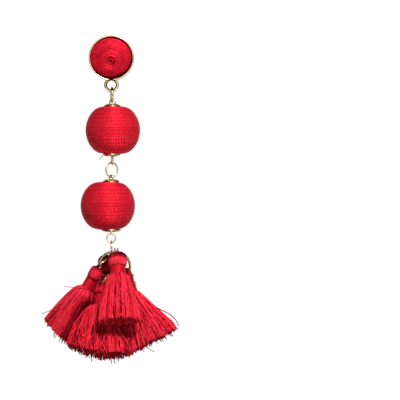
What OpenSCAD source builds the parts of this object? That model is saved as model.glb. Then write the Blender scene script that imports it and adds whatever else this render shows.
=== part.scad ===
// Tassel earring: a stud in a cup, two thread-wound balls on eye pins, and five tassels on a large ring.
// Millimetres. X to the right, Z up, the front faces -Y. The origin is the foot of the ear post, on the cup's back.

/* [Stud] */
// Outside diameter of the cup
cup_d = 13.5; // [11:0.1:16]
// Wall of the cup's rim
cup_wall = 0.4; // [0.3:0.05:0.6]
// Depth of the cup from its back to its lip
cup_depth = 3.2; // [2.4:0.1:4.5]
// Thickness of the cup's back plate
plate_t = 1; // [0.8:0.05:1.4]
// Rise of the wound dome above the lip
dome_rise = 1.8; // [1:0.1:3]
// Depth of the dimple in the middle of the dome
dimple_depth = 0.5; // [0.2:0.05:0.9]
// Radius of the dimple
dimple_r = 0.9; // [0.5:0.1:1.6]
// Diameter of the ear post
post_d = 0.8; // [0.6:0.05:1]
// Length of the ear post
post_len = 11; // [8:0.5:13]
// Length of the post's tapered tip
post_tip = 0.7; // [0.3:0.1:1.5]

/* [Hanging loop] */
// Diameter of the hole in the stud's loop
loop_hole_d = 2.6; // [2.2:0.1:4]
// Wire of the stud's loop
loop_wire_d = 0.9; // [0.6:0.05:1.1]

/* [Jump rings] */
// Outside diameter of the link under the stud
top_link_d = 4.8; // [4.2:0.1:7]
// Wire of the link under the stud
top_wire_d = 0.6; // [0.4:0.05:0.65]
// Outside diameter of the link between the balls
middle_link_d = 4.8; // [4.2:0.1:7]
// Wire of the link between the balls
middle_wire_d = 0.45; // [0.35:0.05:0.6]
// Outside diameter of the link under the lower ball
lower_link_d = 4.5; // [4.2:0.1:7]
// Wire of the link under the lower ball
lower_wire_d = 0.42; // [0.34:0.02:0.6]
// Outside diameter of the large ring for the tassels
tassel_ring_d = 10.1; // [9.6:0.1:12]
// Wire of the large ring
tassel_ring_wire_d = 0.8; // [0.5:0.05:0.9]
// Outside diameter of a tassel's own link
tassel_link_d = 4.4; // [4.2:0.1:4.8]
// Wire of a tassel's own link
tassel_wire_d = 0.5; // [0.35:0.05:0.55]

/* [Eye pins] */
// Wire of the eye pins
pin_wire_d = 0.42; // [0.34:0.02:0.5]
// Outside diameter of the eye on top of a ball
small_eye_d = 2.2; // [2.1:0.1:2.6]
// Outside diameter of the eye under a ball
large_eye_d = 3; // [2.4:0.1:4]
// Bare pin between the upper ball and the eye under it
upper_pin_neck = 0.5; // [0.4:0.05:2]
// Bare pin between the lower ball and the eye under it
lower_pin_neck = 1.25; // [0.8:0.05:3]

/* [Balls] */
// Width of a wound ball
ball_d = 16.4; // [13:0.1:20]
// Height of a wound ball between its flattened poles
ball_h = 14.06; // [11:0.02:16]
// Hole through a ball
ball_bore_d = 2.6; // [2.6:0.1:3.4]
// How far the upper ball sits to the right on its pin
upper_ball_shift = 0.17; // [0:0.01:0.5]
// How far the lower ball sits to the left on its pin
lower_ball_shift = 1; // [0:0.01:1]

/* [Bead caps] */
// Diameter of the caps on the upper ball and on top of the lower one
cap_d = 5; // [4.2:0.1:7]
// Diameter of the cap under the lower ball
wide_cap_d = 6; // [4.6:0.1:8]
// Height of a cap
cap_h = 0.85; // [0.5:0.05:1.4]
// Sheet of a cap
cap_t = 0.3; // [0.2:0.02:0.4]
// Hole in a cap
cap_hole_d = 2.5; // [2.5:0.1:3.2]

/* [Tassels] */
// Length of a tassel from crown to hem
tassel_len = 22.6; // [19:0.1:28]
// Width of a tassel's round head
head_d = 4.9; // [4.4:0.1:5.2]
// Width of a tassel's skirt at the hem
skirt_w = 14; // [9:0.1:15]
// Depth of a tassel's skirt at the hem, front to back
skirt_depth = 8; // [5:0.1:9]
// Thread wound round a tassel's neck
wrap_t = 0.24; // [0.15:0.01:0.4]
// Depth of the grooves between the locks of thread
groove_depth = 0.35; // [0:0.05:0.6]
// Unevenness of the cut hem
hem_depth = 0.35; // [0:0.05:0.8]
// Locks of thread round a skirt
locks = 16; // [10:1:16]

/* [Clearances] */
// Gap between a link and the next one that hangs in it
link_gap = 0.12; // [0.08:0.01:0.2]
// Gap between pieces that seat on each other
seat_gap = 0.08; // [0.05:0.01:0.15]
// Gap between the wound dome and the cup's rim
dome_gap = 0.2; // [0.1:0.01:0.3]

/* [Hidden] */
gold = "#d8bd84";
red = "#c8142c";
dark_red = "#a01024";
round_fn = 48;

// Turns of the rings about the vertical: 0 is edge-on from the front, 90 is face-on
top_link_turn = 7;
upper_top_eye_turn = 70;
upper_low_eye_turn = 13;
middle_link_turn = 129;
lower_top_eye_turn = 40;
lower_low_eye_turn = 90;
lower_link_turn = 4;
// The large ring leans back at its foot
ring_tilt = 22;
// Where the lower link crosses the large ring, from the ring's top and clockwise from the front
ring_hang_angle = -11;

// Places of the pins across the front view, to the right of the ear post
top_link_x = 0.15;
upper_x = 0.25;
lower_x = -0.1;
lower_link_x = 0;

// Centre circles of the wires
loop_R = (loop_hole_d + loop_wire_d) / 2;
top_R = (top_link_d - top_wire_d) / 2;
middle_R = (middle_link_d - middle_wire_d) / 2;
lower_R = (lower_link_d - lower_wire_d) / 2;
ring_R = (tassel_ring_d - tassel_ring_wire_d) / 2;
tassel_R = (tassel_link_d - tassel_wire_d) / 2;
small_R = (small_eye_d - pin_wire_d) / 2;
large_R = (large_eye_d - pin_wire_d) / 2;

// Heights of the chain, from the stud down: each ring's upper wire rests on the lower wire of the one above
hang_y = -plate_t / 2;
function step(wire_a, wire_b) = (wire_a + wire_b) / 2 + link_gap;
loop_z = -(cup_d + loop_hole_d) / 2;
top_z = loop_z - loop_R + step(loop_wire_d, top_wire_d) - top_R;
upper_eye_z = top_z - top_R + step(top_wire_d, pin_wire_d) - small_R;
upper_ball_z = upper_eye_z - small_eye_d / 2 - seat_gap - ball_h / 2;
upper_low_eye_z = upper_ball_z - ball_h / 2 - upper_pin_neck - large_eye_d / 2;
middle_z = upper_low_eye_z - large_R + step(pin_wire_d, middle_wire_d) - middle_R;
lower_eye_z = middle_z - middle_R + step(middle_wire_d, pin_wire_d) - small_R;
lower_ball_z = lower_eye_z - small_eye_d / 2 - seat_gap - ball_h / 2;
lower_low_eye_z = lower_ball_z - ball_h / 2 - lower_pin_neck - large_eye_d / 2;
lower_z = lower_low_eye_z - large_R + step(pin_wire_d, lower_wire_d) - lower_R;
ring_hang_z = lower_z - lower_R + step(lower_wire_d, tassel_ring_wire_d);

// A point on the large ring's wire, at an angle from its top
function on_ring(a) = [
    ring_R * sin(a),
    -ring_R * cos(a) * sin(ring_tilt),
    ring_R * cos(a) * cos(ring_tilt)
];
ring_c = [lower_link_x, hang_y, ring_hang_z] - on_ring(ring_hang_angle);

// Columns of the tassel table. Lengths are shares of the named sizes above.
RING_AT = 0;    // place on the large ring, in degrees from its top
LINK_LEAN = 1;  // slope of the link's plane in the front view
WIRE_AT = 2;    // direction from the ring's wire to the link's centre, in the link's plane
HANG_AT = 3;    // where the tassel sits on the link, in the link's plane
SIDE = 4;       // lean to the right
FRONT = 5;      // lean to the front
LONG = 6;       // share of the length
HEAD = 7;       // share of the head's width
WIDE = 8;       // share of the skirt's width
DEEP = 9;       // share of the skirt's depth
CROWN = 10;     // how far below the crown the link passes, as a share of the head's width
FLARE = 11;     // below 1 the skirt spreads early, above 1 it spreads late
SLANT = 12;     // how much longer the skirt is on its right than in the middle, as a share of the length
SEED = 13;      // start of the hem's uneven pattern
tassel_table = [
    [12, 90, -150, -90, 2, 21, 0.95, 1.12, 0.86, 0.95, 0.15, 1.0, 0, 3],
    [-101, 56, -131, 246, -35, -9, 0.97, 0.90, 0.58, 0.76, 0.36, 1.3, 0.07, 11],
    [-146, 60, 225, 180, -6, 23, 0.98, 0.84, 1.28, 1.00, 0.17, 0.65, 0.06, 23],
    [126, -8, -90, 235, 26, 9, 1.04, 0.96, 1.04, 0.95, 0.30, 1.5, -0.04, 37],
    [-84.4, 34, 54, 54, 12, -27.5, 0.98, 0.82, 0.85, 0.90, 0.15, 1.0, 0, 51]
];

// Sections of a tassel from crown to hem. Columns: share of the length, of the head's width, of the skirt's
// width, and of the grooves' depth.
AT = 0;
OF_HEAD = 1;
OF_SKIRT = 2;
GROOVE = 3;
tassel_sections = [
    [0.000, 0.34, 0.00, 0.0],
    [0.012, 0.62, 0.00, 0.0],
    [0.036, 0.86, 0.00, 0.0],
    [0.075, 0.99, 0.00, 0.0],
    [0.115, 1.00, 0.00, 0.0],
    [0.148, 0.90, 0.00, 0.0],
    [0.162, 0.72, 0.00, 0.0],
    [0.272, 0.72, 0.00, 0.0],
    [0.290, 0.84, 0.02, 0.2],
    [0.340, 0.82, 0.16, 0.5],
    [0.450, 0.62, 0.37, 0.8],
    [0.620, 0.34, 0.63, 1.0],
    [0.820, 0.10, 0.88, 1.0],
    [1.000, 0.00, 1.00, 1.0]
];
neck_share = 0.72;
wrap_from = 0.168;
wrap_to = 0.266;
points_per_lock = 4;

// A wire ring of centre radius R lying in the XY plane
module wire_ring(R, wire_d) {
    rotate_extrude($fn = round_fn)
        translate([R, 0])
            circle(d = wire_d, $fn = round_fn);
}

// An upright wire ring turned about the vertical
module upright_ring(R, wire_d, turn) {
    rotate([0, 0, turn])
        rotate([0, 90, 0])
            wire_ring(R, wire_d);
}

// Stands a shape that is drawn along Z so that it points to the front
module to_front() {
    rotate([90, 0, 0])
        children();
}

module ear_stud() {
    color(gold)
        difference() {
            union() {
                to_front() {
                    cylinder(d = cup_d, h = cup_depth - cup_wall / 2, $fn = 96);
                    translate([0, 0, cup_depth - cup_wall / 2])
                        wire_ring((cup_d - cup_wall) / 2, cup_wall);
                    translate([0, 0, -(post_len - post_tip)])
                        cylinder(d = post_d, h = post_len - post_tip, $fn = round_fn);
                    translate([0, 0, -post_len])
                        cylinder(d1 = post_d / 2, d2 = post_d, h = post_tip, $fn = round_fn);
                }
                translate([0, hang_y, loop_z])
                    upright_ring(loop_R, loop_wire_d, 90);
            }
            to_front()
                translate([0, 0, plate_t])
                    cylinder(d = cup_d - 2 * cup_wall, h = cup_depth, $fn = 96);
        }
}

// The wound dome: straight sides in the cup, a round front and a dimple in its middle
dome_r = cup_d / 2 - cup_wall - dome_gap;
dome_side = cup_depth - plate_t - seat_gap;
dome_steps = 14;
function dome_height(r) =
    dome_side + dome_rise * sqrt(1 - pow(r / dome_r, 2))
    - dimple_depth * exp(-pow(r / dimple_r, 2));
module stud_dome() {
    color(red)
        to_front()
            translate([0, 0, plate_t + seat_gap])
                rotate_extrude($fn = 96)
                    polygon(concat(
                        [[0, 0], [dome_r, 0]],
                        [for (i = [0:dome_steps])
                            let (r = dome_r * cos(90 * i / dome_steps))
                            [i == dome_steps ? 0 : r, dome_height(i == dome_steps ? 0 : r)]]
                    ));
}

module top_link() {
    color(gold)
        translate([top_link_x, hang_y, top_z])
            upright_ring(top_R, top_wire_d, top_link_turn);
}

// Pin wire with an eye at each end
module eye_pin(x, top_z, top_turn, low_z, low_turn) {
    translate([x, hang_y, 0]) {
        translate([0, 0, top_z])
            upright_ring(small_R, pin_wire_d, top_turn);
        translate([0, 0, low_z + large_R])
            cylinder(d = pin_wire_d, h = top_z - small_R - low_z - large_R, $fn = round_fn);
        translate([0, 0, low_z])
            upright_ring(large_R, pin_wire_d, low_turn);
    }
}

module upper_eye_pin() {
    color(gold)
        eye_pin(upper_x, upper_eye_z, upper_top_eye_turn, upper_low_eye_z, upper_low_eye_turn);
}

module lower_eye_pin() {
    color(gold)
        eye_pin(lower_x, lower_eye_z, lower_top_eye_turn, lower_low_eye_z, lower_low_eye_turn);
}

// A wound ball: a round side that flattens smoothly towards both poles, with a hole through it
flatten = 10;
ball_steps = 40;
function softened(s) = s / pow(pow(abs(s), flatten) + pow(ball_h / 2, flatten), 1 / flatten);
function ball_height(s) = ball_h / 2 * softened(s) / softened(ball_d / 2);
module wound_ball() {
    end = acos(ball_bore_d / ball_d);
    rotate_extrude($fn = 96)
        polygon([for (i = [0:ball_steps])
            let (a = end * (2 * i / ball_steps - 1))
            [i == 0 || i == ball_steps ? ball_bore_d / 2 : ball_d / 2 * cos(a), ball_height(ball_d / 2 * sin(a))]]);
}

module upper_ball() {
    color(red)
        translate([upper_x + upper_ball_shift, hang_y, upper_ball_z])
            wound_ball();
}

module lower_ball() {
    color(red)
        translate([lower_x - lower_ball_shift, hang_y, lower_ball_z])
            wound_ball();
}

// A bead cap: a thin domed disc with a hole, its rim at height 0
cap_steps = 8;
module bead_cap(d) {
    inner = cap_hole_d / 2;
    profile = [for (i = [0:cap_steps])
        let (t = i / cap_steps)
        [inner + (d / 2 - inner) * t, (cap_h - cap_t) * (1 - t * t)]];
    rotate_extrude($fn = 64)
        polygon(concat(
            profile,
            [for (i = [cap_steps:-1:0]) profile[i] + [0, cap_t]]
        ));
}

// Its rim rests where the ball is highest under it, since a ball hangs a little off its pin's line
function cap_seat(d, shift) =
    let (r = max(ball_bore_d, d - 2 * shift) / 2)
    ball_height(sqrt(pow(ball_d / 2, 2) - pow(r, 2))) + seat_gap;
module cap_above(x, ball_z, d, shift) {
    translate([x, hang_y, ball_z + cap_seat(d, shift)])
        bead_cap(d);
}

module cap_below(x, ball_z, d, shift) {
    translate([x, hang_y, ball_z - cap_seat(d, shift)])
        mirror([0, 0, 1])
            bead_cap(d);
}

module upper_cap_top() {
    color(gold)
        cap_above(upper_x, upper_ball_z, cap_d, upper_ball_shift);
}

module upper_cap_bottom() {
    color(gold)
        cap_below(upper_x, upper_ball_z, cap_d, upper_ball_shift);
}

module lower_cap_top() {
    color(gold)
        cap_above(lower_x, lower_ball_z, cap_d, lower_ball_shift);
}

module lower_cap_bottom() {
    color(gold)
        cap_below(lower_x, lower_ball_z, wide_cap_d, lower_ball_shift);
}

module middle_link() {
    color(gold)
        translate([(upper_x + lower_x) / 2, hang_y, middle_z])
            upright_ring(middle_R, middle_wire_d, middle_link_turn);
}

module lower_link() {
    color(gold)
        translate([lower_link_x, hang_y, lower_z])
            upright_ring(lower_R, lower_wire_d, lower_link_turn);
}

module tassel_ring() {
    color(gold)
        translate(ring_c)
            rotate([ring_tilt, 0, 0])
                upright_ring(ring_R, tassel_ring_wire_d, 90);
}

// Links and tassels on the large ring
function in_link(row, a) = [
    cos(row[LINK_LEAN]) * cos(a),
    sin(a),
    sin(row[LINK_LEAN]) * cos(a)
];
link_slack = tassel_R - (tassel_wire_d + tassel_ring_wire_d) / 2 - 2 * link_gap;
function link_c(row) = ring_c + on_ring(row[RING_AT]) + link_slack * in_link(row, row[WIRE_AT]);
function tassel_way(row) = [
    cos(row[FRONT]) * sin(row[SIDE]),
    -sin(row[FRONT]),
    -cos(row[FRONT]) * cos(row[SIDE])
];
function crown(row) =
    link_c(row) + tassel_R * in_link(row, row[HANG_AT]) - row[CROWN] * head_d * tassel_way(row);

// Carries a shape that hangs down from the origin to a tassel's crown and direction
module at_tassel(row) {
    translate(crown(row))
        rotate([-row[FRONT], -row[SIDE], 0])
            children();
}

module tassel_link(row, wire_d) {
    translate(link_c(row))
        rotate([0, -row[LINK_LEAN], 0])
            wire_ring(tassel_R, wire_d);
}

// Skin of a tassel: rings of points from crown to hem, grooved between the locks of thread
module tassel_skin(row) {
    n = locks * points_per_lock;
    half_w = row[WIDE] * skirt_w / 2;
    half_d = row[DEEP] * skirt_depth / 2;
    head_r = row[HEAD] * head_d / 2;
    length = row[LONG] * tassel_len;
    last = len(tassel_sections) - 1;
    body = [for (k = [0:last])
        let (
            s = tassel_sections[k],
            spread = pow(s[OF_SKIRT], row[FLARE]),
            rx = s[OF_HEAD] * head_r + spread * half_w,
            ry = s[OF_HEAD] * head_r + spread * half_d
        )
        for (i = [0:n - 1])
            let (
                a = 360 * i / n,
                lock = floor(i / points_per_lock),
                groove = s[GROOVE] * groove_depth * (i % points_per_lock == 0 ? 1 : 0),
                jag = hem_depth * s[OF_SKIRT] * sin(row[SEED] + 137 * lock) * (k == last ? 1 : 0),
                reach = s[AT] * length * (1 + row[SLANT] * spread * cos(a))
            )
            [(rx - groove) * cos(a), (ry - groove) * sin(a), jag - reach]];
    crown_i = len(body);
    hem_i = crown_i + 1;
    points = concat(body, [[0, 0, 0.12 * head_r], [0, 0, -length]]);
    sides = [for (k = [0:last - 1], i = [0:n - 1])
        let (
            a = k * n + i,
            b = k * n + (i + 1) % n
        )
        each [[a, b, b + n], [a, b + n, a + n]]];
    top = [for (i = [0:n - 1]) [crown_i, (i + 1) % n, i]];
    bottom = [for (i = [0:n - 1]) [hem_i, last * n + i, last * n + (i + 1) % n]];
    polyhedron(points = points, faces = concat(sides, top, bottom), convexity = 6);
}

module tassel(row) {
    difference() {
        at_tassel(row)
            tassel_skin(row);
        tassel_link(row, tassel_wire_d + 2 * link_gap);
    }
}

// Thread wound round a neck, from under the head to the top of the skirt
module neck_wrap(row) {
    length = row[LONG] * tassel_len;
    inner = neck_share * row[HEAD] * head_d / 2 + seat_gap;
    at_tassel(row)
        rotate_extrude($fn = 96)
            translate([inner, -wrap_to * length])
                square([wrap_t, (wrap_to - wrap_from) * length]);
}

module front_link() {
    color(gold)
        tassel_link(tassel_table[0], tassel_wire_d);
}

module front_tassel() {
    color(red)
        tassel(tassel_table[0]);
}

module front_wrap() {
    color(red)
        neck_wrap(tassel_table[0]);
}

module left_link() {
    color(gold)
        tassel_link(tassel_table[1], tassel_wire_d);
}

module left_tassel() {
    color(red)
        tassel(tassel_table[1]);
}

module left_wrap() {
    color(red)
        neck_wrap(tassel_table[1]);
}

module low_link() {
    color(gold)
        tassel_link(tassel_table[2], tassel_wire_d);
}

module low_tassel() {
    color(dark_red)
        tassel(tassel_table[2]);
}

module low_wrap() {
    color(dark_red)
        neck_wrap(tassel_table[2]);
}

module right_link() {
    color(gold)
        tassel_link(tassel_table[3], tassel_wire_d);
}

module right_tassel() {
    color(red)
        tassel(tassel_table[3]);
}

module right_wrap() {
    color(red)
        neck_wrap(tassel_table[3]);
}

module back_link() {
    color(gold)
        tassel_link(tassel_table[4], tassel_wire_d);
}

module back_tassel() {
    color(dark_red)
        tassel(tassel_table[4]);
}

module back_wrap() {
    color(dark_red)
        neck_wrap(tassel_table[4]);
}

ear_stud();
stud_dome();
top_link();
upper_eye_pin();
upper_cap_top();
upper_ball();
upper_cap_bottom();
middle_link();
lower_eye_pin();
lower_cap_top();
lower_ball();
lower_cap_bottom();
lower_link();
tassel_ring();
front_link();
front_tassel();
front_wrap();
left_link();
left_tassel();
left_wrap();
low_link();
low_tassel();
low_wrap();
right_link();
right_tassel();
right_wrap();
back_link();
back_tassel();
back_wrap();
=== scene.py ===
import math
import random
from collections import namedtuple

import bmesh
import bpy
from mathutils import Matrix, Vector, noise


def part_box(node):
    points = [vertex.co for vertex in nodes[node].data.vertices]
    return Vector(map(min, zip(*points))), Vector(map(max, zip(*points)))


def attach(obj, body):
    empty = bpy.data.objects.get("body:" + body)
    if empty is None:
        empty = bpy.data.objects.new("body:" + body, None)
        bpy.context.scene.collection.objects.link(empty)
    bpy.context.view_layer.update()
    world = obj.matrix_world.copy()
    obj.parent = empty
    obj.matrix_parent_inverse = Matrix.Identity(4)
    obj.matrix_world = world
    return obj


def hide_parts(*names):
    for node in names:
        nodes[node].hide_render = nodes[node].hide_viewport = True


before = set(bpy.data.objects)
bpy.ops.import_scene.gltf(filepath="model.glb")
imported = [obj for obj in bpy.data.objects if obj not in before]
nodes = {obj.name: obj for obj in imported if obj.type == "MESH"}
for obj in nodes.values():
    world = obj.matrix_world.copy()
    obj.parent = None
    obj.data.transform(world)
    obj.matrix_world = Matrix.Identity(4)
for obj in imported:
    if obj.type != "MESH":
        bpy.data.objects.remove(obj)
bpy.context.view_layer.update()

# A tassel earring that hangs from its ear post: a stud, two balls and five tassels, wound from red thread.
# X is to the right, Z is up, and the front faces -Y. Blender's metres are written as millimetres times MM, and
# the sizes of the wound forms and the tassels are plain millimetres.


# Photographer's set
# A long lens level with the middle of the earring, a round sheet of matt white paper well below it, one broad
# soft light above and to the right, and a weak one in front. The rest of the room is dim.
MM = 0.001
FRAME_WIDTH = 120 * MM
FRAME_CENTRE = Vector((26.55, 0, -42.54)) * MM
CAMERA_AWAY = 1.0
FILM_WIDTH = 36
camera_data = bpy.data.cameras.new("camera")
camera_data.sensor_width = FILM_WIDTH
camera_data.lens = FILM_WIDTH * CAMERA_AWAY / FRAME_WIDTH
camera_data.clip_start = 0.05
camera_data.clip_end = 10
camera = bpy.data.objects.new("camera", camera_data)
camera.location = FRAME_CENTRE + Vector((0, -CAMERA_AWAY, 0))
camera.rotation_euler = (math.pi / 2, 0, 0)
bpy.context.collection.objects.link(camera)
bpy.context.scene.camera = camera
bpy.context.scene.view_settings.view_transform = "Standard"


def linear(hex_colour):
    """An sRGB hex colour as the linear colour that Blender works in."""
    parts = [int(hex_colour[i:i + 2], 16) / 255 for i in (1, 3, 5)]
    return (*[c / 12.92 if c <= 0.04045 else ((c + 0.055) / 1.055) ** 2.4 for c in parts], 1)


def add_node(tree, kind, inputs=(), **settings):
    """Adds a node. Settings name its properties and inputs, inputs are (name or number, value or socket)."""
    node = tree.nodes.new(kind)
    for key, value in settings.items():
        if key in node.bl_rna.properties:
            setattr(node, key, value)
        else:
            node.inputs[key.replace("_", " ")].default_value = value
    for key, value in inputs:
        if isinstance(value, bpy.types.NodeSocket):
            tree.links.new(value, node.inputs[key])
        else:
            node.inputs[key].default_value = value
    return node


def new_material(name):
    """A material, its node tree and its shader."""
    material = bpy.data.materials.new(name)
    material.use_nodes = True
    return material, material.node_tree, material.node_tree.nodes["Principled BSDF"]


def level_disc(name, radius, height, segments):
    """A flat round sheet of the set, at a height in metres."""
    mesh = bpy.data.meshes.new(name)
    bm = bmesh.new()
    bmesh.ops.create_circle(bm, cap_ends=True, segments=segments, radius=radius,
                            matrix=Matrix.Translation((0, 0, height)))
    bm.to_mesh(mesh)
    bm.free()
    disc = bpy.data.objects.new(name, mesh)
    bpy.context.collection.objects.link(disc)
    return disc


FLOOR_RADIUS = 420 * MM
FLOOR_HEIGHT = -130 * MM
floor = level_disc("floor", FLOOR_RADIUS, FLOOR_HEIGHT, segments=96)
# Matt white paper: even and pale, with a faint fibre
paper, tree, shader = new_material("matt_paper")
shader.inputs["Roughness"].default_value = 0.9
place = add_node(tree, "ShaderNodeTexCoord")
fibre = add_node(tree, "ShaderNodeTexNoise", [("Vector", place.outputs["Object"])], Scale=60, Detail=3)
shade = add_node(tree, "ShaderNodeValToRGB", [("Fac", fibre.outputs["Fac"])])
shade.color_ramp.elements[0].color = linear("#e9e8e6")
shade.color_ramp.elements[1].color = linear("#f4f3f1")
tree.links.new(shade.outputs["Color"], shader.inputs["Base Color"])
floor.data.materials.append(paper)

# A flocked black card under the tassels keeps the floor's light off their cut ends. It isn't seen itself.
CARD_RADIUS = 70 * MM
CARD_HEIGHT = -112 * MM
card = level_disc("black_card", CARD_RADIUS, CARD_HEIGHT, segments=48)
card.visible_camera = False
card.visible_shadow = False
# Black flock: dark grey in the light and without gloss
flock, tree, shader = new_material("black_flock")
shader.inputs["Base Color"].default_value = linear("#383636")
shader.inputs["Roughness"].default_value = 0.95
card.data.materials.append(flock)

world = bpy.data.worlds.new("room")
bpy.context.scene.world = world
world.use_nodes = True
tree = world.node_tree
tree.nodes.clear()
# What the gold and the satin mirror: a wide white screen above and in front, a warm grey backdrop, and dark
# sides. Each ramp reads the cosine of the angle from the middle of its screen or backdrop.
SCREEN_WAY = (0.25, -0.72, 0.65)
BACKDROP_WAY = (0, 1, 0)
ROOM_LIGHT = 0.13
view_way = add_node(tree, "ShaderNodeTexCoord")
toward = add_node(tree, "ShaderNodeVectorMath", [(0, view_way.outputs["Generated"]), (1, SCREEN_WAY)],
                  operation="DOT_PRODUCT")
screen = add_node(tree, "ShaderNodeValToRGB", [("Fac", toward.outputs["Value"])])
screen.color_ramp.elements[0].position = 0.35
screen.color_ramp.elements[0].color = linear("#120d09")
screen.color_ramp.elements[1].position = 0.78
screen.color_ramp.elements[1].color = linear("#ffffff")
edge = screen.color_ramp.elements.new(0.6)
edge.color = linear("#756a5e")
mirrored_screen = add_node(tree, "ShaderNodeBackground", [("Color", screen.outputs["Color"])], Strength=1.0)
behind = add_node(tree, "ShaderNodeVectorMath", [(0, view_way.outputs["Generated"]), (1, BACKDROP_WAY)],
                  operation="DOT_PRODUCT")
backdrop = add_node(tree, "ShaderNodeValToRGB", [("Fac", behind.outputs["Value"])])
backdrop.color_ramp.elements[0].position = 0.55
backdrop.color_ramp.elements[0].color = linear("#000000")
backdrop.color_ramp.elements[1].position = 0.85
backdrop.color_ramp.elements[1].color = linear("#c8c0b4")
mirrored_backdrop = add_node(tree, "ShaderNodeBackground", [("Color", backdrop.outputs["Color"])], Strength=1.0)
mirrored = add_node(tree, "ShaderNodeAddShader", [
    (0, mirrored_screen.outputs["Background"]), (1, mirrored_backdrop.outputs["Background"])])
# What lights the earring, and the plain white that the camera sees behind it
soft_room = add_node(tree, "ShaderNodeBackground", Color=linear("#d8d6d4"), Strength=ROOM_LIGHT)
white = add_node(tree, "ShaderNodeBackground", Color=linear("#ffffff"), Strength=1.0)
ray = add_node(tree, "ShaderNodeLightPath")
lit = add_node(tree, "ShaderNodeMixShader", [
    ("Fac", ray.outputs["Is Glossy Ray"]), (1, soft_room.outputs["Background"]), (2, mirrored.outputs["Shader"])])
seen = add_node(tree, "ShaderNodeMixShader", [
    ("Fac", ray.outputs["Is Camera Ray"]), (1, lit.outputs["Shader"]), (2, white.outputs["Background"])])
add_node(tree, "ShaderNodeOutputWorld", [("Surface", seen.outputs["Shader"])])


def soft_light(name, place, aim, size, watts):
    """A square soft light at a place, aimed at a point; all in metres."""
    data = bpy.data.lights.new(name, "AREA")
    data.size = size
    data.energy = watts
    light = bpy.data.objects.new(name, data)
    light.location = place
    light.rotation_euler = (Vector(aim) - Vector(place)).to_track_quat("-Z", "Y").to_euler()
    bpy.context.collection.objects.link(light)


soft_light("key_light", place=(0.28, -0.88, 0.84), aim=(0, 0, -0.04), size=0.24, watts=20)
soft_light("fill_light", place=(0.05, -0.60, 0.02), aim=(0, 0, -0.05), size=0.2, watts=0.3)


# Gold-plated hardware
# The stud's cup with its soldered loop and ear post, jump rings, eye pins and bead caps. They are brass with a
# thin pale gold plate. The rings are bent shut through each other, and the pins run through the balls.
GOLD_NODES = [
    "ear_stud", "top_link", "upper_eye_pin", "upper_cap_top", "upper_cap_bottom", "middle_link",
    "lower_eye_pin", "lower_cap_top", "lower_cap_bottom", "lower_link", "tassel_ring",
    "front_link", "left_link", "low_link", "right_link", "back_link"
]
LOOP_INNER = 1.3 * MM
LOOP_OUTER = 2.2 * MM
LOOP_CENTRE = Vector((0, 0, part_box("ear_stud")[0].z + LOOP_OUTER))     # the loop is the stud's lowest part
# Painted shade on the inner side of the stud's loop: how far out past the hole it reaches, and how soft its edge is
INNER_SHADE_WIDTH = 0.36 * MM
INNER_SHADE_EDGE = 0.1 * MM
# Tumbled gold plate: a warm champagne mirror, softened by fine rubbing that shows as slight waviness
gold, tree, shader = new_material("tumbled_gold_plate")
shader.inputs["Metallic"].default_value = 1
place = add_node(tree, "ShaderNodeTexCoord")
# Rubbing marks about 0.7 mm across, coarser than the real ones so that they show
rubbing = add_node(tree, "ShaderNodeTexNoise", [("Vector", place.outputs["Object"])], Scale=1400, Detail=4)
plate = add_node(tree, "ShaderNodeValToRGB", [("Fac", rubbing.outputs["Fac"])])
plate.color_ramp.elements[0].position = 0.3
plate.color_ramp.elements[0].color = linear("#e3c994")
plate.color_ramp.elements[1].position = 0.7
plate.color_ramp.elements[1].color = linear("#f8e6c0")
# Painted shade: the inner side of the stud's loop is painted near-black, for the dark that its inner wall shows
from_loop = add_node(tree, "ShaderNodeVectorMath", [
    (0, place.outputs["Object"]), (1, (1, 0, 1)), (2, (-LOOP_CENTRE.x, 0, -LOOP_CENTRE.z))],
    operation="MULTIPLY_ADD")
loop_radius = add_node(tree, "ShaderNodeVectorMath", [(0, from_loop.outputs["Vector"])], operation="LENGTH")
inner_shade = add_node(tree, "ShaderNodeMapRange", [("Value", loop_radius.outputs["Value"])],
                 From_Min=LOOP_INNER + INNER_SHADE_WIDTH, From_Max=LOOP_INNER + INNER_SHADE_WIDTH + INNER_SHADE_EDGE,
                 To_Min=0.0, To_Max=1.0)
shaded_plate = add_node(tree, "ShaderNodeMix", [
    (0, inner_shade.outputs["Result"]), (6, linear("#0c0805")), (7, plate.outputs["Color"])], data_type="RGBA")
tree.links.new(shaded_plate.outputs[2], shader.inputs["Base Color"])
worn = add_node(tree, "ShaderNodeMapRange", [("Value", rubbing.outputs["Fac"])],
                From_Min=0.3, From_Max=0.7, To_Min=0.14, To_Max=0.26)
tree.links.new(worn.outputs["Result"], shader.inputs["Roughness"])
dent = add_node(tree, "ShaderNodeBump", [("Height", rubbing.outputs["Fac"])], Strength=0.25, Distance=0.05 * MM)
tree.links.new(dent.outputs["Normal"], shader.inputs["Normal"])
for name in GOLD_NODES:
    nodes[name].data.materials.clear()
    nodes[name].data.materials.append(gold)


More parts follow.
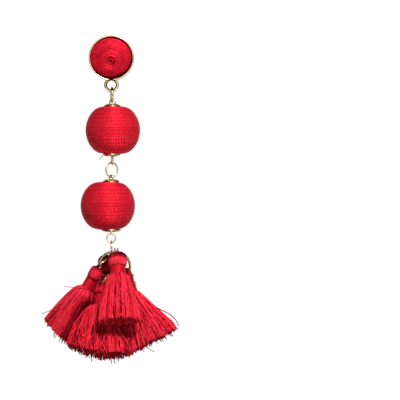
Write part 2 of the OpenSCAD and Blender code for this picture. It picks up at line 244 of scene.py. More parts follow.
# Wound dome
# A button with one long viscose cord wound on it in a flat spiral, from the cup's wall to a dimple in the
# middle. It is glued into the cup, on a foot of thread that fills the cup to its wall.
CORD_RADIUS = 0.25
CORD_PITCH = 0.46
CORD_SIDES = 6
DOME_CORD_FLAT = 0.45
DOME_RADIUS = 6.15
DOME_SIDE = 1.3
DOME_RISE = 2.8
DOME_ROUNDNESS = 0.85
DOME_RINGS = 40
DOME_STEPS = 96         # steps of each turn
DOME_CORE_STEPS = 64
INNER_TURN = 0.12       # the radius where the cord's spiral ends
CORE_FROM = 0.25
CORE_INSET = 0.2
CORE_FOOT = 0.5         # how deep the core and the cord go into the foot
CORD_FOOT = 0.3
AXIS_GAP = 0.02         # a core's side starts this far from its axis
CUP_RADIUS = 6.34
CUP_STEPS = 96
CUP_BACK = -1.08        # on Y, where the wound button begins in front of the cup's back
FOOT_HEIGHT = 1.1
DIMPLE_DEPTH = 1.0
DIMPLE_RADIUS = 1.2
RIDGE_HEIGHT = 0.16
RIDGE_PITCH = 1.15
RIDGES_WITHIN = 2.4
# The button sits a little high and to the left in its cup, leans down, and is less high than wide. Its middle
# turns have dropped.
DOME_RIGHT = -0.2
DOME_UP = 0.4
DOME_LEAN = (0.01, -0.14)
DOME_TALL = 0.95
MIDDLE_DROP = 1.1
# The turns leave their line a little, and each differs in tone from those a turn or two away
TURN_WOBBLE = 0.03
WOBBLE_DETAIL = 3
TONE_SPREAD = 0.6
TONE_DETAIL = 0.7
TONE_LINE = (5.1, 2.3)  # which line through the noise gives the tones
# Painted shade: the turns near the dimple in the middle are painted darker
MIDDLE_SHADE = 0.9
SHADE_RADIUS = 1.3
# Painted shade: what lies under the threads, the cores, the tight layers and the cup's foot, is painted near-black
UNDER_SHADE = -3         # what lies under the threads is in their shade


def open_ring(bm, sides):
    """A small ring with its corners numbered round it, and its edges."""
    of_corner = bm.verts.layers.int["corner"]
    verts = bmesh.ops.create_circle(bm, cap_ends=False, segments=sides, radius=MM)["verts"]
    for vert in verts:
        vert[of_corner] = round(math.atan2(-vert.co.x, vert.co.y) / (2 * math.pi) * sides) % sides
    return verts, list(dict.fromkeys(edge for vert in verts for edge in vert.link_edges))


def extrude_rings(bm, edges):
    """Extrudes open rings by a station. Returns its vertices, its edges at the open end, and its faces."""
    made = bmesh.ops.extrude_edge_only(bm, edges=edges)["geom"]
    verts = [v for v in made if isinstance(v, bmesh.types.BMVert)]
    fresh = set(verts)
    rim = [e for e in made if isinstance(e, bmesh.types.BMEdge) and fresh.issuperset(e.verts)]
    return verts, rim, [f for f in made if isinstance(f, bmesh.types.BMFace)]


def lay_threads(bm, threads, sides, joined=False):
    """Draws round threads into a bmesh: a ring of points for each, extruded from station to station.

    A thread is (start of its run in mm, stations), and a station is (centre, outward, across, radius, tone), in
    metres. The outward and across ways are the ring's two axes, and the tone runs from dark 0 to bright 1. The UV
    map runs along the thread in millimetres and once round it. Joined threads are one: each ends in the next.
    """
    of_thread = bm.verts.layers.int.new("thread")
    of_station = bm.verts.layers.int.new("station")
    of_corner = bm.verts.layers.int.new("corner")
    of_tone = bm.verts.layers.float.new("tone")
    uv = bm.loops.layers.uv.new("UVMap")
    # Painted shade: what is already in the bmesh, the core under the threads, is painted near-black
    for vert in bm.verts:
        vert[of_tone] = UNDER_SHADE
    circle = [(math.cos(2 * math.pi * j / sides), math.sin(2 * math.pi * j / sides)) for j in range(sides)]

    def put(vert, station):
        centre, outward, across, radius, tone = threads[vert[of_thread] - 1][1][station]
        c, s = circle[vert[of_corner]]
        vert.co = centre + radius * (c * outward + s * across)
        vert[of_station] = station
        vert[of_tone] = tone

    open_edges = []
    for i in range(len(threads)):
        ring, edges = open_ring(bm, sides)
        for vert in ring:
            vert[of_thread] = i + 1
            put(vert, 0)
        open_edges += edges
    drawn = []
    station = 1
    while True:
        # All threads that go on are extruded together, in one call for each station
        open_edges = [e for e in open_edges if len(threads[e.verts[0][of_thread] - 1][1]) > station]
        if not open_edges:
            break
        fresh, open_edges, faces = extrude_rings(bm, open_edges)
        for vert in fresh:
            put(vert, station)
        drawn += faces
        station += 1
    along = []
    for start, stations in threads:
        run = [start]
        for a, b in zip(stations, stations[1:]):
            run.append(run[-1] + (b[0] - a[0]).length / MM)
        along.append(run)
    for face in drawn:
        corners = [loop.vert[of_corner] for loop in face.loops]
        wraps = max(corners) - min(corners) > 1
        for loop, corner in zip(face.loops, corners):
            round_share = (sides if wraps and corner == 0 else corner) / sides
            loop[uv].uv = (along[loop.vert[of_thread] - 1][loop.vert[of_station]], round_share)
    if joined:
        rings = {(v[of_thread], v[of_station], v[of_corner]): v for v in bm.verts}
        last = len(threads[0][1]) - 1
        bmesh.ops.weld_verts(bm, targetmap={
            rings[i, last, j]: rings[i + 1, 0, j] for i in range(1, len(threads)) for j in range(sides)})


def finish_piece(name, bm, material, replaced, body):
    """Closes the open ends, turns every face outwards and makes the piece, which may stand for a CAD node."""
    bmesh.ops.holes_fill(bm, edges=[e for e in bm.edges if e.is_boundary], sides=0)
    bmesh.ops.recalc_face_normals(bm, faces=bm.faces)
    for face in bm.faces:
        face.smooth = True
    mesh = bpy.data.meshes.new(name)
    bm.to_mesh(mesh)
    bm.free()
    mesh.materials.append(material)
    piece = bpy.data.objects.new(name, mesh)
    bpy.context.collection.objects.link(piece)
    if replaced:
        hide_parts(replaced)
    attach(piece, body)


def wound_turns(outline, pitch, radius, flat, steps, place, shade_radius=0.01):
    """Turns of one cord wound on a round form, for lay_threads to join.

    The outline is the side of the wound form, as (radius, height) in mm. Flat is the cord's height as a share of
    its width, and place carries the form into position. The turns within the shade radius are painted darker, as
    shade: by default none are.
    """
    runs = [0.0]
    for (r0, h0), (r1, h1) in zip(outline, outline[1:]):
        runs.append(runs[-1] + math.hypot(r1 - r0, h1 - h0))
    turns = max(1, round(runs[-1] / pitch))

    def on_outline(share):
        d = min(max(share, 0), 1) * runs[-1]
        i = next((n for n in range(1, len(runs)) if runs[n] >= d), len(runs) - 1)
        f = (d - runs[i - 1]) / (runs[i] - runs[i - 1])
        (r0, h0), (r1, h1) = outline[i - 1], outline[i]
        step = Vector((r1 - r0, h1 - h0)).normalized()
        return r0 + f * (r1 - r0), h0 + f * (h1 - h0), step

    turn_of = place.to_3x3()
    threads = []
    start = 0.0
    for turn in range(turns):
        stations = []
        for k in range(steps + 1):
            share = (turn + k / steps) / turns
            r, h, step = on_outline(share)
            a = 2 * math.pi * k / steps
            way = Vector((math.cos(a), math.sin(a), 0))
            wobble = TURN_WOBBLE * noise.noise(WOBBLE_DETAIL * way + Vector((0, 0, turn + k / steps)))
            across = (way * step.x + Vector((0, 0, step.y))).normalized()
            outward = (way * -step.y + Vector((0, 0, step.x))).normalized()
            centre = way * r + Vector((0, 0, h)) + outward * (wobble - flat * radius)
            tone = (0.5 + TONE_SPREAD * noise.noise(Vector((TONE_DETAIL * share * turns, *TONE_LINE)))
                    - MIDDLE_SHADE * math.exp(-(r / shade_radius) ** 2))
            stations.append((place @ (centre * MM), flat * (turn_of @ outward), turn_of @ across, radius * MM, tone))
        threads.append((start, stations))
        start += sum((b[0] - a[0]).length for a, b in zip(stations, stations[1:])) / MM
    return threads


def spin_core(bm, outline, steps, place):
    """A closed core under the cord: the outline, as (radius, height) in mm, spun once round."""
    before = set(bm.verts)
    verts = [bm.verts.new((r * MM, 0, h * MM)) for r, h in outline]
    edges = [bm.edges.new(pair) for pair in zip(verts, verts[1:] + verts[:1])]
    bmesh.ops.spin(bm, geom=verts + edges, cent=(0, 0, 0), axis=(0, 0, 1), angle=2 * math.pi,
                   steps=steps, use_merge=True)
    bmesh.ops.transform(bm, matrix=place, verts=[v for v in bm.verts if v not in before])


def dome_height(r):
    """The button's height in mm at a radius. Its middle turns are loose: a dimple with ridges round it."""
    return (DOME_SIDE + DOME_RISE * max(0, 1 - (r / DOME_RADIUS) ** 2) ** DOME_ROUNDNESS
            - DIMPLE_DEPTH * math.exp(-(r / DIMPLE_RADIUS) ** 2)
            - RIDGE_HEIGHT * math.cos(2 * math.pi * r / RIDGE_PITCH) * math.exp(-(r / RIDGES_WITHIN) ** 2))


def cord_material(name, dark, mid, bright, ply, contrast, metallic, roughness):
    """Twisted viscose: satin red, with plies that show as slanting marks every ply mm along each turn."""
    material, tree, shader = new_material(name)
    shader.inputs["Roughness"].default_value = roughness
    shader.inputs["Metallic"].default_value = metallic
    shader.inputs["Specular IOR Level"].default_value = 0.5
    shader.inputs["Specular Tint"].default_value = linear("#ff5060")
    along = add_node(tree, "ShaderNodeUVMap", uv_map="UVMap")
    parts = add_node(tree, "ShaderNodeSeparateXYZ", [("Vector", along.outputs["UV"])])
    mark = add_node(tree, "ShaderNodeMath", [(0, parts.outputs["X"]), (1, ply)], operation="DIVIDE")
    turned = add_node(tree, "ShaderNodeMath", [(0, mark.outputs[0]), (1, parts.outputs["Y"])], operation="ADD")
    # The twist is uneven: it gains and loses a ply every 6 mm or so, so the marks don't line up between turns
    uneven = add_node(tree, "ShaderNodeTexNoise", [("W", parts.outputs["X"])], noise_dimensions="1D", Scale=0.16,
                      Detail=1)
    twisted = add_node(tree, "ShaderNodeMath", [(0, uneven.outputs["Fac"]), (1, 2.5), (2, turned.outputs[0])],
                       operation="MULTIPLY_ADD")
    wave = add_node(tree, "ShaderNodeMath", [(0, twisted.outputs[0]), (1, 2 * math.pi)], operation="MULTIPLY")
    plies = add_node(tree, "ShaderNodeMath", [(0, wave.outputs[0])], operation="SINE")
    # Painted highlight and shade: the ply marks are lighter and darker bands in the colour, over the bump below
    level = add_node(tree, "ShaderNodeMapRange", [("Value", plies.outputs[0])],
                     From_Min=-1, To_Min=-0.5 * contrast, To_Max=0.35 * contrast)
    # Handling has left patches of about 1 mm a little duller or brighter
    place = add_node(tree, "ShaderNodeTexCoord")
    cloudy = add_node(tree, "ShaderNodeTexNoise", [("Vector", place.outputs["Object"])], Scale=900, Detail=3)
    patches = add_node(tree, "ShaderNodeMapRange", [("Value", cloudy.outputs["Fac"])],
                       From_Min=0.3, From_Max=0.7, To_Min=0.42, To_Max=0.58)
    blend = add_node(tree, "ShaderNodeMath", [(0, level.outputs["Result"]), (1, patches.outputs["Result"])],
                     operation="ADD")
    tone = add_node(tree, "ShaderNodeAttribute", attribute_name="tone")
    toned = add_node(tree, "ShaderNodeMath", [(0, tone.outputs["Fac"]), (1, 0.2), (2, blend.outputs[0])],
                     operation="MULTIPLY_ADD")
    shade = add_node(tree, "ShaderNodeValToRGB", [("Fac", toned.outputs[0])])
    shade.color_ramp.elements[0].position = 0.25
    shade.color_ramp.elements[0].color = linear(dark)
    shade.color_ramp.elements[1].position = 0.85
    shade.color_ramp.elements[1].color = linear(bright)
    middle = shade.color_ramp.elements.new(0.55)
    middle.color = linear(mid)
    # Painted shade: the lowest stop, near-black, for what lies under the threads
    under = shade.color_ramp.elements.new(0.0)
    under.color = linear("#2a0308")
    tree.links.new(shade.outputs["Color"], shader.inputs["Base Color"])
    relief = add_node(tree, "ShaderNodeBump", [("Height", plies.outputs[0])], Strength=contrast, Distance=0.04 * MM)
    tree.links.new(relief.outputs["Normal"], shader.inputs["Normal"])
    return material


# Fine twisted viscose cord: a satin red with faint plies, drawn 0.66 mm apart so that they show. Its colours
# are painted darker than the balls' cord: painted shade on the button
fine_cord = cord_material("fine_viscose_cord", "#8c0818", "#be1226", "#ec2a40",
                          ply=0.66, contrast=0.3, metallic=0.4, roughness=0.38)
facing = Matrix.Rotation(math.pi / 2, 4, "X")      # a height points to the front
cup_place = Matrix.Translation(Vector((0, CUP_BACK, 0)) * MM) @ facing
dome_place = (Matrix.Translation(Vector((DOME_RIGHT, CUP_BACK, DOME_UP)) * MM) @ facing
              @ Matrix.Shear("XY", 4, DOME_LEAN) @ Matrix.Scale(DOME_TALL, 4, (0, 1, 0)))
dome_front = [DOME_RADIUS * math.sin(math.pi / 2 * i / DOME_RINGS) for i in range(1, DOME_RINGS)]
dome_outline = ([(r, dome_height(r)) for r in [INNER_TURN, *dome_front]]
                + [(DOME_RADIUS, DOME_SIDE), (DOME_RADIUS, FOOT_HEIGHT - CORD_FOOT)])
dome_core = ([(AXIS_GAP, dome_height(0) - CORE_INSET)]
             + [(r - CORE_INSET, h - CORE_INSET) for r, h in dome_outline if r > CORE_FROM]
             + [(AXIS_GAP, FOOT_HEIGHT - CORE_FOOT)])
bm = bmesh.new()
# The cup's foot and the button's core take the under tone: painted shade, near-black in the gap round the button
spin_core(bm, [(AXIS_GAP, FOOT_HEIGHT), (CUP_RADIUS, FOOT_HEIGHT), (CUP_RADIUS, 0), (AXIS_GAP, 0)], CUP_STEPS,
          cup_place)
spin_core(bm, dome_core, DOME_CORE_STEPS, dome_place)
lay_threads(bm, wound_turns(dome_outline, CORD_PITCH, CORD_RADIUS, DOME_CORD_FLAT, DOME_STEPS, dome_place,
                            SHADE_RADIUS), CORD_SIDES, joined=True)
# The turns have slipped: the nearer the middle, the lower they lie
into_dome = dome_place.inverted()
for vert in bm.verts:
    spot = into_dome @ vert.co
    slipped = max(0, 1 - (spot.xy.length / (DOME_RADIUS * MM)) ** 2)
    vert.co = dome_place @ (spot - Vector((0, MIDDLE_DROP * MM * slipped, 0)))
finish_piece("wound_dome", bm, fine_cord, "stud_dome", "stud")


# Wound balls
# Each ball is a drilled plastic bead, wound from pole to pole with viscose cord. Its poles are a little flat,
# where the bead caps press on it, and the eye pin holds it between them.
BALL_DIAMETER = 16.4
BALL_HEIGHT = 14.5      # 0.2 mm more at each pole than the solid, so that the last turns meet the caps
BORE_DIAMETER = 2.6
FLATTEN = 10
BALL_CORD_FLAT = 0.6
BALL_RINGS = 120
BALL_STEPS = 120
BALL_CORE_STEPS = 96


def softened(s):
    """A height that levels off smoothly at the poles."""
    return s / (abs(s) ** FLATTEN + (BALL_HEIGHT / 2) ** FLATTEN) ** (1 / FLATTEN)


def ball_outline(inset):
    """The ball's side from pole to pole, as (radius, height) in mm, this much inside its skin."""
    end = math.acos(BORE_DIAMETER / BALL_DIAMETER)
    points = []
    for i in range(BALL_RINGS + 1):
        a = end * (1 - 2 * i / BALL_RINGS)
        r = BALL_DIAMETER / 2 * math.cos(a) - inset * math.cos(a)
        h = BALL_HEIGHT / 2 * softened(BALL_DIAMETER / 2 * math.sin(a)) / softened(BALL_DIAMETER / 2)
        points.append((max(r, BORE_DIAMETER / 2), h * (1 - 2 * inset / BALL_HEIGHT)))
    return points


# Twisted viscose cord: a bright satin red with plies that catch the light, drawn 0.75 mm apart so that they show
cord = cord_material("twisted_viscose_cord", "#a80e1e", "#d4162a", "#f63448",
                     ply=0.75, contrast=0.5, metallic=0.3, roughness=0.42)
for name in ("upper_ball", "lower_ball"):
    low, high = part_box(name)
    ball_place = Matrix.Translation((low + high) / 2)
    bm = bmesh.new()
    spin_core(bm, ball_outline(CORE_INSET), BALL_CORE_STEPS, ball_place)
    lay_threads(bm, wound_turns(ball_outline(0), CORD_PITCH, CORD_RADIUS, BALL_CORD_FLAT, BALL_STEPS, ball_place),
                CORD_SIDES, joined=True)
    finish_piece("wound_" + name, bm, cord, name, "drop")


# Cord knot
# The ball's cord ends under the upper ball, beside the cap. It is tied off in a small knot of the cord itself,
# and its tail has frayed thin.
KNOT = [(-2.2, -2.7, -28.8), (-1.7, -3.3, -28.5), (-1.0, -3.1, -28.9), (-1.5, -2.7, -29.2), (-2.0, -3.2, -28.9),
        (-1.2, -3.5, -28.75), (-0.5, -2.9, -28.4)]
TAIL = [(-2.1, -3.0, -28.9), (-2.5, -3.2, -29.2), (-3.0, -3.1, -29.8), (-3.66, -3.0, -30.5)]
TAIL_RADIUS = 0.13
TAIL_TIP = 0.5
KNOT_TONE = 0.9
KNOT_SIDES = 8


def smooth_path(points, steps):
    """A smooth line through points in mm, in metres."""
    line = []
    ends = [points[0], *points, points[-1]]
    for n in range(len(points) - 1):
        p0, p1, p2, p3 = (Vector(ends[n + k]) for k in range(4))
        for k in range(steps):
            t = k / steps
            line.append(0.5 * (2 * p1 + (p2 - p0) * t + (2 * p0 - 5 * p1 + 4 * p2 - p3) * t ** 2
                               + (3 * p1 - p0 - 3 * p2 + p3) * t ** 3) * MM)
    return [*line, Vector(points[-1]) * MM]


def through_points(points, radius, tones, tip=1.0, start=0.0):
    """A thread through points in metres. Its ring's axes turn as little as they can.

    The tip is its last radius as a share of its first. Tones are one for each point, or one for all.
    """
    stations = []
    outward = None
    last = len(points) - 1
    for k, point in enumerate(points):
        way = (points[min(k + 1, last)] - points[max(k - 1, 0)]).normalized()
        if outward is None:
            outward = way.orthogonal().normalized()
        outward = (outward - way * outward.dot(way)).normalized()
        tone = tones[k] if isinstance(tones, list) else tones
        stations.append((point, outward.copy(), way.cross(outward),
                         radius * MM * (1 - (1 - tip) * (k / last) ** 3), tone))
    return start, stations


bm = bmesh.new()
lay_threads(bm, [through_points(smooth_path(KNOT, 6), CORD_RADIUS, KNOT_TONE),
                 through_points(smooth_path(TAIL, 5), TAIL_RADIUS, KNOT_TONE, TAIL_TIP)], KNOT_SIDES)
finish_piece("cord_knot", bm, cord, None, "drop")


# Tassels
# Each is a hank of viscose floss, folded over its jump ring. The fold makes a round head, the neck is bound
# below it, and the cut ends spread into a skirt.
TASSEL_LENGTH = 22.6
TASSEL_HEAD = 4.9
SKIRT_WIDTH = 14
SKIRT_DEPTH = 8
FLOSS_RADIUS = 0.19
STRAND_SIDES = 4
STRAND_TIP = 0.8
# How wide a tassel is at a share of its length, as shares of the head's width and of the skirt's width
SECTIONS = [
    (0.000, 0.42, 0.00), (0.012, 0.72, 0.00), (0.036, 0.92, 0.00), (0.080, 1.00, 0.00), (0.145, 1.00, 0.00),
    (0.184, 0.92, 0.00), (0.196, 0.72, 0.00), (0.314, 0.72, 0.00), (0.328, 0.84, 0.07), (0.370, 0.82, 0.21),
    (0.450, 0.62, 0.37), (0.620, 0.34, 0.63), (0.820, 0.10, 0.88), (1.000, 0.00, 1.00), (1.250, 0.00, 1.18)
]
HEAD_END = 0.196
WRAP_MIDDLE = 0.217     # where the middle of the neck's binding lies, as the CAD has it
SHORTER_CROWN = 0.35    # the power of a smaller head's share that brings its crown nearer the neck
SKIRT_FROM = 0.37
# Where the strands and the inside have their stations, as shares of the length
HEAD_STATIONS = [0.0, 0.012, 0.036, 0.08, 0.14, 0.182, 0.202, 0.31, 0.32, 0.42, 0.56, 0.72, 0.87, 0.985, 1.0]
NECK_STATIONS = [0.25, 0.31, 0.35, 0.42, 0.51, 0.62, 0.75, 0.88, 0.985, 1.0]
HEART_STATIONS = [0.005, 0.036, 0.08, 0.14, 0.182, 0.198, 0.31, 0.35, 0.43, 0.56, 0.7]
HEART_LAYER = 0.86
HEART_SIDES = 32
# The strands over the head, in the skirt's skin, inside it, and cut too long: how many, and the ranges of their
# tones. Two kinds are evenly spaced, apart from a share of the spacing. The layers are squares of the way out.
OVER_HEAD = 46
IN_SKIN = 190
INSIDE = 450
TOO_LONG = 16
HEAD_TONE = (0.3, 0.7)
BRIGHT_TONE = (0.4, 0.9)
BRIGHT_SHARE = 0.8
DARK_TONE = (0.0, 0.3)
INSIDE_TONE = (0.2, 0.8)
TOO_LONG_TONE = (0.3, 0.8)
HEAD_UNEVEN = 0.12
SKIN_UNEVEN = 0.4
SKIN_WAY_OUT = (0.93, 1.01)
SKIN_RADIUS = (0.8, 1.05)
INSIDE_LAYERS = (0.02, 0.85)
TOO_LONG_LAYERS = (0.1, 1.0)
# Where they are cut, as shares of the length: the middle and the spread, or the range
HEAD_CUT = (1.0, 0.008)
SKIN_CUT = (1.0, 0.01)
INSIDE_CUT = (0.995, 0.012)
TOO_LONG_CUT = (1.02, 1.07)
# The skirt falls into locks: the strands draw together round each lock's middle, and lie deeper between two
LOCKS = 16
LOCK_DRIFT = 3
DRIFT_DETAIL = 1.5
LOCK_DEPTH = 0.04
DEPTH_DETAIL = 3
LOCK_PULL = 0.45
LOCK_UNEVEN = 0.12
UNEVEN_DETAIL = 2
# Each strand is loose below the neck, and sways round and in or out on its way down. In the head it is twisted
LOOSE_FROM = 0.27
LOCKED_OVER = 0.4
LOOSE_OVER = 0.5
BELOW_NECK = 0.3
SWAY = (0.03, 0.13)
SWAY_DETAIL = 4
SWAY_ROUND = 2.2
SWAY_OUT = 0.05
HEAD_TWIST = 0.55
HEAD_TWIST_TO = 0.17

# How far each leans to the right and to the front, in degrees; shares of the length, head, width and depth above;
# how late its skirt spreads; how much longer its right side is than its middle; how much shorter both its sides
# are; how bright its strands are; and its random start
Tassel = namedtuple("Tassel", "right front length head width depth flare slant fan lift seed")
TASSELS = {
    "front": Tassel(right=2, front=21, length=0.95, head=1.17, width=0.95, depth=0.95, flare=1.0,
                    slant=0, fan=0, lift=0, seed=3),
    "left": Tassel(right=-31, front=-9, length=1.04, head=0.84, width=0.9, depth=0.85, flare=0.85,
                   slant=0.06, fan=0, lift=0.2, seed=11),
    "low": Tassel(right=0, front=24, length=1.02, head=0.84, width=1.45, depth=1.00, flare=0.8,
                  slant=0.06, fan=0.09, lift=-0.12, seed=23),
    "right": Tassel(right=22, front=9, length=1.05, head=0.96, width=1.3, depth=0.95, flare=1.45,
                    slant=-0.04, fan=0, lift=0, seed=37),
    "back": Tassel(right=4, front=-20, length=1.08, head=1.06, width=1.3, depth=0.90, flare=0.6,
                   slant=0, fan=0, lift=0.1, seed=51)
}
# What the head's first stations add to a strand's tone: painted light and shade. The crowns are darker, the crease
# above the neck has painted shade, the front one's belly a painted highlight, and the heads behind it are painted
# darker, for its shade
HEAD_LIGHT_AND_SHADE = {
    "front": (-0.7, -0.6, -0.5, -0.35, 0.8, 0.6, -0.3),
    "left": (-1.0, -0.7, -0.4, 0.0, 0.0, -0.4, -0.8),
    "low": (-0.9, -0.7, -0.4, -0.1, 0.1, -0.2, -0.8),
    "right": (-1.2, -0.9, -0.6, -0.4, -0.3, -0.3, -0.8),
    "back": (-1.0, -0.8, -0.6, -0.4, -0.3, -0.6, -1)
}
# Painted light: what the last station adds to a strand's tone, so that the cut ends look lit
CUT_END_LIGHT = 0.3
# Where another tassel lies against one, as a way round it in degrees, its strands are in the shade
SHADED_SIDE = {"left": -40}
SIDE_SHADE = 1.4
SHADE_FROM = 0.3
SHADE_OVER = 0.2

# Strands that have come loose: radius, tone, and points in mm
STRAYS = {
    "front": [(0.28, 0.0, [(1.35, -2.9, -58.8), (1.15, -3.0, -57.8), (1.1, -3.0, -56.8)])],
    "left": [
        (0.13, 0.2, [(-7.6, -1.8, -69.4), (-9.75, -2.2, -68.5), (-11.8, -2.2, -68.65), (-14.2, -2.0, -68.4)]),
        (0.15, 0.3, [(-11.0, -1.0, -70.9), (-14.5, -1.0, -73.3), (-17.8, -0.8, -75.4), (-21.0, -0.6, -76.7)]),
        (0.15, 0.5, [(-11.6, -0.6, -71.8), (-16.0, -0.6, -74.9), (-18.4, -0.4, -77.0), (-19.6, -0.3, -78.2)]),
        (0.15, 0.2, [(-12.4, -0.8, -72.4), (-16.9, -0.9, -76.4), (-18.7, -0.8, -78.5), (-19.1, -0.8, -79.7)])
    ],
    "low": [
        (0.13, 0.4, [(-2.7, -1.6, -66.6), (-4.35, -1.8, -67.7), (-5.3, -1.8, -70.0), (-5.0, -2.0, -71.8)]),
        (0.15, 1.0, [(0.6, -7.6, -81.4), (2.4, -7.8, -84.2), (4.2, -7.8, -86.6), (5.2, -7.6, -88.8)]),
        (0.15, 0.9, [(2.2, -7.4, -80.6), (3.6, -7.8, -83.0), (5.4, -7.8, -86.0), (6.6, -7.4, -87.8)])
    ],
    "right": [
        (0.19, 0.0, [(11.4, -2.6, -73.6), (14.3, -3.0, -75.1), (17.4, -3.2, -76.7), (19.2, -3.2, -78.3),
                     (20.3, -3.2, -80.3)]),
        (0.16, 0.5, [(6.5, -2.6, -66.6), (7.4, -2.9, -67.5), (6.9, -2.6, -68.2)]),
        (0.15, 1.0, [(5.4, -6.6, -83.6), (4.4, -7.0, -85.6), (3.4, -7.4, -88.2), (2.6, -7.6, -89.6)]),
        (0.13, 0.3, [(10.6, -5.0, -86.4), (11.9, -5.2, -87.3), (13.0, -5.2, -87.9)])
    ]
}
STRAY_TIP = 0.7
STRAY_STEPS = 4

# Viscose floss: bright satin strands from pink-red to crimson, a little hairy
floss, tree, shader = new_material("viscose_floss")
shader.inputs["Roughness"].default_value = 0.42
shader.inputs["Metallic"].default_value = 0.25
shader.inputs["Specular IOR Level"].default_value = 0.5
shader.inputs["Specular Tint"].default_value = linear("#ff5060")
tone = add_node(tree, "ShaderNodeAttribute", attribute_name="tone")
along = add_node(tree, "ShaderNodeUVMap", uv_map="UVMap")
# Slubs: lighter and darker lengths of 1 to 2 mm along each strand
slubs = add_node(tree, "ShaderNodeTexNoise", [("Vector", along.outputs["UV"])], Scale=0.9, Detail=2)
slub_tone = add_node(tree, "ShaderNodeMapRange", [("Value", slubs.outputs["Fac"])],
                     From_Min=0.3, From_Max=0.7, To_Min=-0.15, To_Max=0.33)
slubbed = add_node(tree, "ShaderNodeMath", [(0, slub_tone.outputs["Result"]), (1, tone.outputs["Fac"])],
                   operation="ADD")
# The strand's twist is drawn every 0.7 mm, coarser than the real one, so that it shows. It is painted as lighter
# and darker bands, a painted highlight and shade of the twist, over a bump
TWISTS_PER_MM = 1 / 0.7
parts = add_node(tree, "ShaderNodeSeparateXYZ", [("Vector", along.outputs["UV"])])
twist_share = add_node(tree, "ShaderNodeMath", [
    (0, parts.outputs["X"]), (1, TWISTS_PER_MM), (2, parts.outputs["Y"])], operation="MULTIPLY_ADD")
twist_angle = add_node(tree, "ShaderNodeMath", [(0, twist_share.outputs[0]), (1, 2 * math.pi)],
                       operation="MULTIPLY")
twist_wave = add_node(tree, "ShaderNodeMath", [(0, twist_angle.outputs[0])], operation="SINE")
mixed = add_node(tree, "ShaderNodeMath", [(0, twist_wave.outputs[0]), (1, 0.16), (2, slubbed.outputs[0])],
                 operation="MULTIPLY_ADD")
shade = add_node(tree, "ShaderNodeValToRGB", [("Fac", mixed.outputs[0])])
shade.color_ramp.elements[0].position = 0.0
shade.color_ramp.elements[0].color = linear("#30020a")
shade.color_ramp.elements[1].position = 1.0
shade.color_ramp.elements[1].color = linear("#f4384e")
middle = shade.color_ramp.elements.new(0.5)
middle.color = linear("#c81527")
shadow = shade.color_ramp.elements.new(0.12)
shadow.color = linear("#5a0511")
tree.links.new(shade.outputs["Color"], shader.inputs["Base Color"])
relief = add_node(tree, "ShaderNodeBump", [("Height", twist_wave.outputs[0])], Strength=0.5, Distance=0.04 * MM)
tree.links.new(relief.outputs["Normal"], shader.inputs["Normal"])


def rising(at, start, over):
    """From 0 at the start to 1 when over has passed."""
    return min(1, max(0, (at - start) / over))


def section(at):
    """Shares of the head's and the skirt's width at a share of the length."""
    for (t0, h0, s0), (t1, h1, s1) in zip(SECTIONS, SECTIONS[1:]):
        if at <= t1:
            f = max(0, (at - t0) / (t1 - t0))
            return h0 + f * (h1 - h0), s0 + f * (s1 - s0)
    return SECTIONS[-1][1:]


def tassel_place(name, tassel):
    """Where a tassel is: its crown at the origin, its length down -Z, and its neck where the CAD has it."""
    low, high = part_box(name + "_wrap")
    turn = (Matrix.Rotation(math.radians(-tassel.right), 4, "Y")
            @ Matrix.Rotation(math.radians(-tassel.front), 4, "X"))
    above_neck = WRAP_MIDDLE * min(1, tassel.head) ** SHORTER_CROWN * (tassel.length * TASSEL_LENGTH)
    return Matrix.Translation((low + high) / 2 + turn @ Vector((0, 0, 1)) * (above_neck * MM)) @ turn


def drop_at(tassel, at):
    """How far down a station lies, as a share of the length. A smaller head is shorter too."""
    neck = min(1, tassel.head) * HEAD_END
    if at < HEAD_END:
        return at / HEAD_END * neck
    return at if at > SKIRT_FROM else neck + (at - HEAD_END) / (SKIRT_FROM - HEAD_END) * (SKIRT_FROM - neck)


def on_tassel(tassel, at, a, layer):
    """A point in a tassel: share of the length, way round it and share of the way out to its skin."""
    of_head, of_skirt = section(at)
    spread = of_skirt ** tassel.flare if of_skirt > 0 else 0
    head_r = tassel.head * TASSEL_HEAD / 2
    half_w = tassel.width * SKIRT_WIDTH / 2
    half_d = tassel.depth * SKIRT_DEPTH / 2
    rx = of_head * head_r + spread * half_w - FLOSS_RADIUS
    ry = of_head * head_r + spread * half_d - FLOSS_RADIUS
    around = Vector((math.cos(a), math.sin(a), 0))

    def uneven(detail, layer_of_noise):
        return noise.noise(detail * around + Vector((0, 0, tassel.seed + layer_of_noise)))

    locked = rising(at, LOOSE_FROM, LOCKED_OVER)
    in_lock = LOCKS * a + LOCK_DRIFT * uneven(DRIFT_DETAIL, 0)
    drawn_a = a - LOCK_PULL * locked * math.sin(in_lock) / LOCKS + LOCK_UNEVEN * locked * uneven(UNEVEN_DETAIL, 9)
    depth = LOCK_DEPTH + LOCK_DEPTH * uneven(DEPTH_DETAIL, 5)
    out = layer * (1 - depth * locked * (0.5 - 0.5 * math.cos(in_lock)))
    off = math.cos(drawn_a) * layer
    down = drop_at(tassel, at) * (tassel.length * TASSEL_LENGTH) * (
        1 + spread * (tassel.slant * off - tassel.fan * off ** 2))
    return Vector((rx * math.cos(drawn_a) * out, ry * math.sin(drawn_a) * out, -down)) * MM


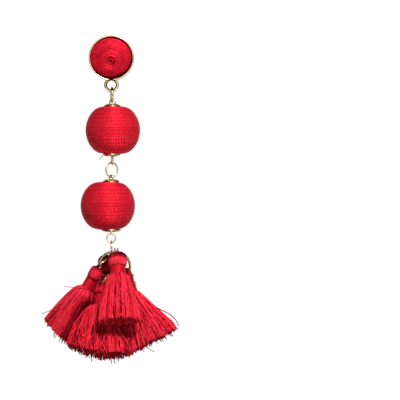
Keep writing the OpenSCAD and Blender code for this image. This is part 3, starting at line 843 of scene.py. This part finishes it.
def hank_strands(name, tassel, place):
    """A tassel's strands, as threads: those over its head, in its skirt's skin, inside it, and cut too long."""
    rng = random.Random(tassel.seed)
    painted_head = dict(zip(HEAD_STATIONS, HEAD_LIGHT_AND_SHADE[name]))

    def strand(stations, layer, a, reach, tone, radius):
        side_shade = 0
        if name in SHADED_SIDE:
            side_shade = SIDE_SHADE * max(0, math.cos(a - math.radians(SHADED_SIDE[name]))) ** 4
        phase = rng.uniform(0, 100)
        sway = rng.uniform(*SWAY)
        points = []
        tones = []
        for t in stations:
            at = t * reach if t > BELOW_NECK else t
            loose = rising(at, LOOSE_FROM, LOOSE_OVER)
            sway_round = SWAY_ROUND * sway * loose * noise.noise(Vector((phase, SWAY_DETAIL * at, 0)))
            sway_out = SWAY_OUT * loose * noise.noise(Vector((phase, SWAY_DETAIL * at, 7)))
            twist = HEAD_TWIST * max(0, HEAD_TWIST_TO - at) / HEAD_TWIST_TO
            points.append(place @ on_tassel(tassel, at, a + twist + sway_round, layer + sway_out))
            # Painted light and shade: the head's painted tones, and painted light at the cut end
            painted_light_and_shade = painted_head.get(t, CUT_END_LIGHT if t == 1 else 0)
            tones.append(tone + tassel.lift + painted_light_and_shade - side_shade * rising(at, SHADE_FROM, SHADE_OVER))
        return through_points(points, radius, tones, STRAND_TIP, rng.uniform(0, 10))

    threads = []
    for j in range(OVER_HEAD):
        a = 2 * math.pi * (j + rng.uniform(-HEAD_UNEVEN, HEAD_UNEVEN)) / OVER_HEAD
        threads.append(strand(HEAD_STATIONS, 1.0, a, rng.gauss(*HEAD_CUT), rng.uniform(*HEAD_TONE), FLOSS_RADIUS))
    for j in range(IN_SKIN):
        a = 2 * math.pi * (j + rng.uniform(-SKIN_UNEVEN, SKIN_UNEVEN)) / IN_SKIN
        tone = rng.uniform(*BRIGHT_TONE) if rng.random() < BRIGHT_SHARE else rng.uniform(*DARK_TONE)
        threads.append(strand(NECK_STATIONS, rng.uniform(*SKIN_WAY_OUT), a, rng.gauss(*SKIN_CUT),
                              tone, FLOSS_RADIUS * rng.uniform(*SKIN_RADIUS)))
    for j in range(INSIDE):
        a = rng.uniform(0, 2 * math.pi)
        threads.append(strand(NECK_STATIONS[3:], math.sqrt(rng.uniform(*INSIDE_LAYERS)), a,
                              rng.gauss(*INSIDE_CUT), rng.uniform(*INSIDE_TONE), FLOSS_RADIUS))
    for j in range(TOO_LONG):
        a = rng.uniform(0, 2 * math.pi)
        threads.append(strand(NECK_STATIONS[2:], math.sqrt(rng.uniform(*TOO_LONG_LAYERS)), a,
                              rng.uniform(*TOO_LONG_CUT), rng.uniform(*TOO_LONG_TONE), FLOSS_RADIUS))
    return threads


def lay_heart(bm, tassel, place):
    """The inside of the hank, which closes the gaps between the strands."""
    # Painted shade: the heart keeps tone 0, dark, as the shade inside the hank
    of_corner = bm.verts.layers.int["corner"]
    ring, edges = open_ring(bm, HEART_SIDES)
    for at in HEART_STATIONS:
        if at > HEART_STATIONS[0]:
            ring, edges, _ = extrude_rings(bm, edges)
        for vert in ring:
            vert.co = place @ on_tassel(tassel, at, 2 * math.pi * vert[of_corner] / HEART_SIDES, HEART_LAYER)


for name, tassel in TASSELS.items():
    place = tassel_place(name, tassel)
    threads = hank_strands(name, tassel, place)
    for radius, tone, points in STRAYS.get(name, []):
        threads.append(through_points(smooth_path(points, STRAY_STEPS), radius, tone, STRAY_TIP))
    bm = bmesh.new()
    lay_threads(bm, threads, STRAND_SIDES)
    lay_heart(bm, tassel, place)
    finish_piece(name + "_floss", bm, floss, name + "_tassel", "drop")


# Neck cords
# A viscose cord binds each tassel's neck. It is wound round it side by side over a tight layer of the same
# cord, with its end drawn under the turns.
NECK_SHARE = 0.72       # the neck's width as a share of the head's
NECK_CORD_RISE = 0.32
NECK_CORD_RADIUS = 0.27
NECK_CORD_PITCH = 0.52
NECK_CORD_FLAT = 0.8
NECK_STEPS = 40
LAYER_STEPS = 48
LAYER_INNER = 0.24      # how far inside the cord's skin the tight layer lies
LAYER_OUTER = 0.12
WRAP_FROM = 0.2
WRAP_TO = 0.318
# Twisted viscose cord: a satin red a little darker than the floss, with faint plies drawn 0.66 mm apart
neck_cord = cord_material("neck_viscose_cord", "#a00c1c", "#cc1428", "#e8283c",
                          ply=0.66, contrast=0.3, metallic=0.25, roughness=0.42)
for name, tassel in TASSELS.items():
    place = tassel_place(name, tassel)
    wrap_r = NECK_SHARE * (tassel.head * TASSEL_HEAD / 2) + NECK_CORD_RISE
    top, end = (-drop_at(tassel, at) * (tassel.length * TASSEL_LENGTH) for at in (WRAP_FROM, WRAP_TO))
    bm = bmesh.new()
    spin_core(bm, [(wrap_r - LAYER_INNER, top), (wrap_r - LAYER_OUTER, top),
                   (wrap_r - LAYER_OUTER, end), (wrap_r - LAYER_INNER, end)], LAYER_STEPS, place)
    lay_threads(bm, wound_turns([(wrap_r, top), (wrap_r, end)], NECK_CORD_PITCH, NECK_CORD_RADIUS, NECK_CORD_FLAT,
                                NECK_STEPS, place), CORD_SIDES, joined=True)
    finish_piece(name + "_neck_cord", bm, neck_cord, name + "_wrap", "drop")
